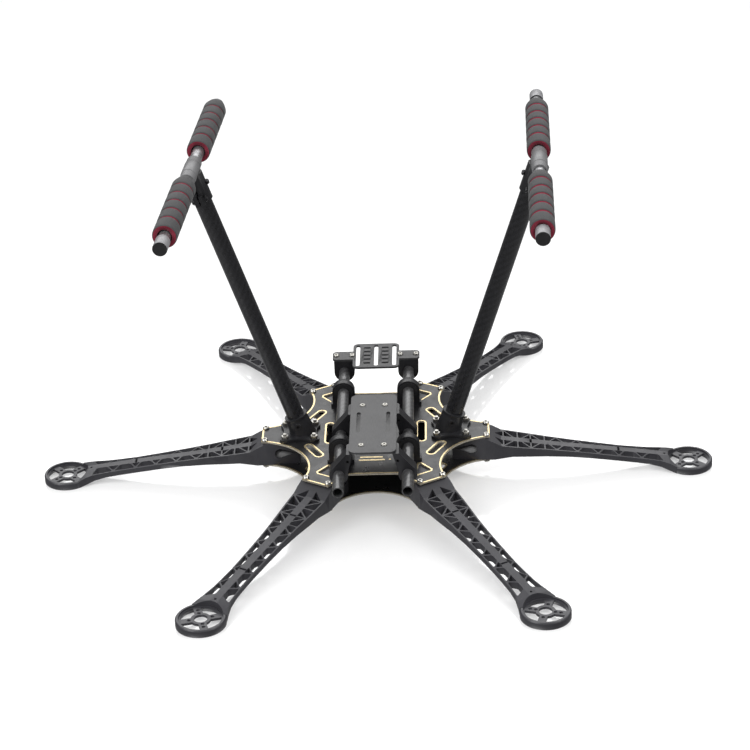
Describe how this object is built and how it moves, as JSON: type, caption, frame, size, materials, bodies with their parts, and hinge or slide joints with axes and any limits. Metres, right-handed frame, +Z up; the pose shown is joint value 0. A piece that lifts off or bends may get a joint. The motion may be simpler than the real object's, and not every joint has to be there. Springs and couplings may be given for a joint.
{
  "type": "hexacopter airframe",
  "caption": "Bare hexacopter frame: lattice arms between two boards, belly rails with battery and camera plates, splayed tube legs with foam skids.",
  "frame": {"origin": "on the ground, midway between the two skids and below the centre of the arms", "axes": "+Z up in flight, -Y towards the front of the airframe, +X towards its left-hand arm"},
  "size_m": [0.5914, 0.5178, 0.3009],
  "materials": {
    "circuit_board": "satin black solder mask with bare gold edges",
    "arm_nylon": "moulded glass-filled nylon",
    "black_plastic": "matte moulded",
    "barrel_plastic": "grey moulded",
    "cap_plastic": "pale grey moulded",
    "carbon": "glossy woven carbon fibre",
    "rail_carbon": "satin drawn carbon fibre",
    "skid_tube": "grey anodised",
    "tray_plate": "satin glass-fibre sheet",
    "foam": "closed-cell foam with a dark red core",
    "rubber": "matte rubber",
    "steel": "zinc-plated",
    "black_steel": "blackened",
    "gold_trace": "bare gold-plated copper"
  },
  "bodies": {
    "airframe": {"bottom_plate": "circuit_board", "top_plate": "circuit_board", "arm_left": "arm_nylon", "arm_rear_left": "arm_nylon", "arm_rear_right": "arm_nylon", "arm_right": "arm_nylon", "arm_front_right": "arm_nylon", "arm_front_left": "arm_nylon", "arm_screws_bottom": "steel", "arm_screws_top": "steel", "leg_socket_left": "black_plastic", "leg_socket_right": "black_plastic", "socket_screws": "steel", "socket_nuts": "steel", "socket_set_screws": "black_steel", "leg_tube_left": "carbon", "leg_tube_right": "carbon", "hanger_front_left": "black_plastic", "hanger_front_right": "black_plastic", "hanger_rear_left": "black_plastic", "hanger_rear_right": "black_plastic", "hanger_grommets": "rubber", "hanger_screws": "steel"},
    "rails": {"rail_left": "rail_carbon", "rail_right": "rail_carbon"},
    "battery_tray": {"battery_plate": "tray_plate", "clip_front_left": "black_plastic", "clip_front_right": "black_plastic", "clip_rear_left": "black_plastic", "clip_rear_right": "black_plastic", "battery_screws": "steel"},
    "camera_tray": {"camera_plate": "tray_plate", "camera_clamp_left": "black_plastic", "camera_clamp_right": "black_plastic", "camera_screws": "steel"},
    "left_skid": {"leg_clamp_left": "black_plastic", "clamp_bolts_left": "black_steel", "clamp_nut_left": "black_steel", "skid_barrel_left": "barrel_plastic", "skid_tube_left": "skid_tube", "foam_left_front": "foam", "foam_left_rear": "foam", "skid_caps_left": "cap_plastic"},
    "right_skid": {"leg_clamp_right": "black_plastic", "clamp_bolts_right": "black_steel", "clamp_nut_right": "black_steel", "skid_barrel_right": "barrel_plastic", "skid_tube_right": "skid_tube", "foam_right_front": "foam", "foam_right_rear": "foam", "skid_caps_right": "cap_plastic"}
  },
  "joints": [
    {"name": "rails_slide", "type": "slide", "parent": "airframe", "child": "rails", "axis": [0, 1, 0], "range_m": [-0.008, 0.008]},
    {"name": "battery_tray_slide", "type": "slide", "parent": "rails", "child": "battery_tray", "axis": [0, 1, 0], "range_m": [-0.006, 0.006]},
    {"name": "camera_tray_slide", "type": "slide", "parent": "rails", "child": "camera_tray", "axis": [0, 1, 0], "range_m": [-0.02, 0]},
    {"name": "left_skid_turn", "type": "hinge", "parent": "airframe", "child": "left_skid", "pos_m": [0.145, 0, 0.0102], "axis": [0.3097, 0, -0.9508], "range_deg": [-6, 6]},
    {"name": "right_skid_turn", "type": "hinge", "parent": "airframe", "child": "right_skid", "pos_m": [-0.145, 0, 0.0102], "axis": [-0.3097, 0, -0.9508], "range_deg": [-6, 6]}
  ]
}
